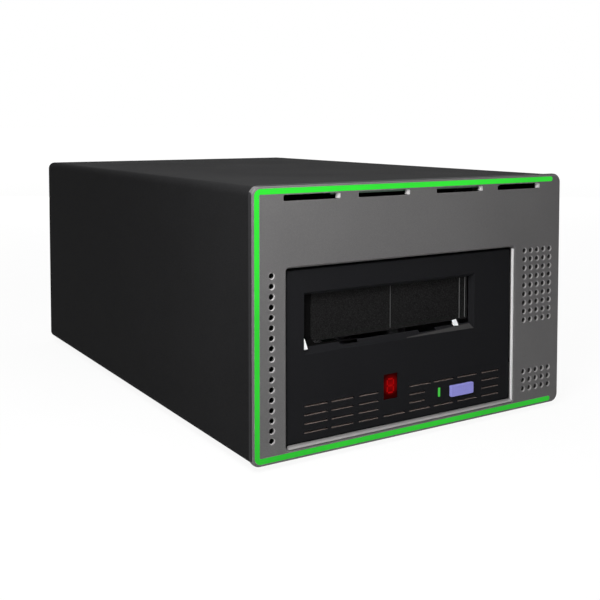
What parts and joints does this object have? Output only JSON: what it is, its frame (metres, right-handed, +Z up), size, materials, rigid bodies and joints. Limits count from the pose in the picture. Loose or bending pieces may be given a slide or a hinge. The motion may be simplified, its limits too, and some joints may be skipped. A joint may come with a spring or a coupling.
{
  "type": "data tape drive",
  "caption": "Desktop data tape drive: black case, grey panel with green light strip, vents and holes, recessed black drive front with cartridge door, display and eject button.",
  "frame": {"origin": "middle of the footprint, on the surface that the feet stand on", "axes": "+X to the right seen from the front, +Y from front to back, +Z up"},
  "size_m": [0.207, 0.3218, 0.1375],
  "materials": {
    "panel_metal": "satin grey metallic paint",
    "light_guide": "lit green light guide",
    "case_black": "fine satin black powder coat",
    "tray_steel": "zinc-plated sheet",
    "rear_black": "satin black paint",
    "foot_rubber": "matt rubber",
    "screw_steel": "blackened steel",
    "bezel_black": "fine moulded texture",
    "door_black": "coarse grained moulding",
    "display_red": "lit red window",
    "status_green": "lit green bar",
    "button_lavender": "smooth moulding",
    "board_green": "solder-masked board",
    "cast_metal": "die-cast",
    "sheet_metal": "plain sheet",
    "plated_steel": "plated",
    "nylon_white": "moulded nylon",
    "plastic_black": "moulded",
    "blade_brass": "nickel-plated brass",
    "guard_chrome": "bright wire",
    "sleeve_blue": "shrink sleeve",
    "core_dark": "varnished core",
    "cord_grey": "flexible jacket",
    "cord_black": "flexible jacket"
  },
  "bodies": {
    "root": {"base_tray": "tray_steel", "button_switch": "plastic_black", "cable_plugs": "nylon_white", "capacitors": "sleeve_blue", "case_cover": "case_black", "case_screws": "screw_steel", "cradle_rail_left": "tray_steel", "cradle_rail_right": "tray_steel", "data_ribbon": "cord_grey", "display_board": "board_green", "display_window": "display_red", "door_pins": "plated_steel", "drive_bezel": "bezel_black", "drive_board": "board_green", "drive_chassis": "cast_metal", "drive_cover": "sheet_metal", "drive_power_cable": "cord_grey", "drive_screws": "screw_steel", "drive_sockets": "plastic_black", "fan_frame": "plastic_black", "fan_guard": "guard_chrome", "fan_screws": "screw_steel", "fan_stator": "plastic_black", "front_panel": "panel_metal", "guide_posts": "plated_steel", "head_rods": "plated_steel", "heat_sink": "sheet_metal", "host_ports": "plastic_black", "inlet_blades": "blade_brass", "interface_board": "board_green", "light_board": "board_green", "light_cable": "cord_black", "light_strip": "light_guide", "loader_motor": "plated_steel", "mains_leads": "cord_black", "power_inlet": "plastic_black", "rear_panel": "rear_black", "rubber_feet": "foot_rubber", "status_light": "status_green", "supply_board": "board_green", "supply_chassis": "sheet_metal", "supply_motor": "plated_steel", "switch_housing": "plastic_black", "takeup_motor": "plated_steel", "transformer": "core_dark"},
    "door": {"cartridge_door": "door_black"},
    "button": {"eject_button": "button_lavender"},
    "rocker": {"power_rocker": "plastic_black"},
    "rotor": {"fan_rotor": "plastic_black"},
    "hub": {"supply_hub": "nylon_white"},
    "reel": {"takeup_reel": "nylon_white"},
    "carriage": {"loader_carriage": "plastic_black"},
    "gear": {"loader_gear": "nylon_white"},
    "arm": {"threading_arm": "sheet_metal"},
    "head": {"head_carriage": "cast_metal", "tape_head": "plated_steel"},
    "roller_1": {"guide_roller_1": "nylon_white"},
    "roller_2": {"guide_roller_2": "nylon_white"},
    "roller_3": {"guide_roller_3": "nylon_white"},
    "roller_4": {"guide_roller_4": "nylon_white"}
  },
  "joints": [
    {"name": "door_hinge", "type": "hinge", "parent": "root", "child": "door", "pos_m": [-0.0176, -0.1541, 0.084], "axis": [1, 0, 0], "range_deg": [0, 90], "stiffness_Nm_per_rad": 0.0015, "springref_deg": -20.05},
    {"name": "button_press", "type": "slide", "parent": "root", "child": "button", "axis": [0, 1, 0], "range_m": [0, 0.001], "stiffness_N_per_m": 300, "springref_m": -0.001},
    {"name": "rocker_tilt", "type": "hinge", "parent": "root", "child": "rocker", "pos_m": [-0.032, 0.1562, 0.0285], "axis": [-1, 0, 0], "range_deg": [0, 16]},
    {"name": "fan_spin", "type": "hinge", "parent": "root", "child": "rotor", "pos_m": [0.048, 0.1459, 0.0885], "axis": [0, 1, 0], "continuous": true},
    {"name": "hub_spin", "type": "hinge", "parent": "root", "child": "hub", "pos_m": [-0.0176, -0.0779, 0.0505], "axis": [0, 0, 1], "continuous": true},
    {"name": "reel_spin", "type": "hinge", "parent": "root", "child": "reel", "pos_m": [-0.034, 0.0151, 0.0595], "axis": [0, 0, 1], "continuous": true},
    {"name": "carriage_slide", "type": "slide", "parent": "root", "child": "carriage", "axis": [0, 1, 0], "range_m": [0, 0.03]},
    {"name": "gear_spin", "type": "hinge", "parent": "root", "child": "gear", "pos_m": [0.047, -0.0729, 0.0575], "axis": [0, 0, -1], "range_deg": [0, 246]},
    {"name": "arm_swing", "type": "hinge", "parent": "root", "child": "arm", "pos_m": [0.018, 0.0351, 0.0755], "axis": [0, 0, -1], "range_deg": [0, 88]},
    {"name": "head_step", "type": "slide", "parent": "root", "child": "head", "axis": [0, 0, 1], "range_m": [-0.0015, 0.0015]},
    {"name": "roller_1_spin", "type": "hinge", "parent": "root", "child": "roller_1", "pos_m": [0.034, -0.0179, 0.0665], "axis": [0, 0, 1], "continuous": true},
    {"name": "roller_2_spin", "type": "hinge", "parent": "root", "child": "roller_2", "pos_m": [0.046, -0.0129, 0.0665], "axis": [0, 0, 1], "continuous": true},
    {"name": "roller_3_spin", "type": "hinge", "parent": "root", "child": "roller_3", "pos_m": [0.046, 0.0151, 0.0665], "axis": [0, 0, 1], "continuous": true},
    {"name": "roller_4_spin", "type": "hinge", "parent": "root", "child": "roller_4", "pos_m": [0.03, 0.0251, 0.0665], "axis": [0, 0, 1], "continuous": true}
  ],
  "couplings": [
    {"joint": "gear_spin", "follows": "carriage_slide", "rad_per_m": 142.86}
  ]
}
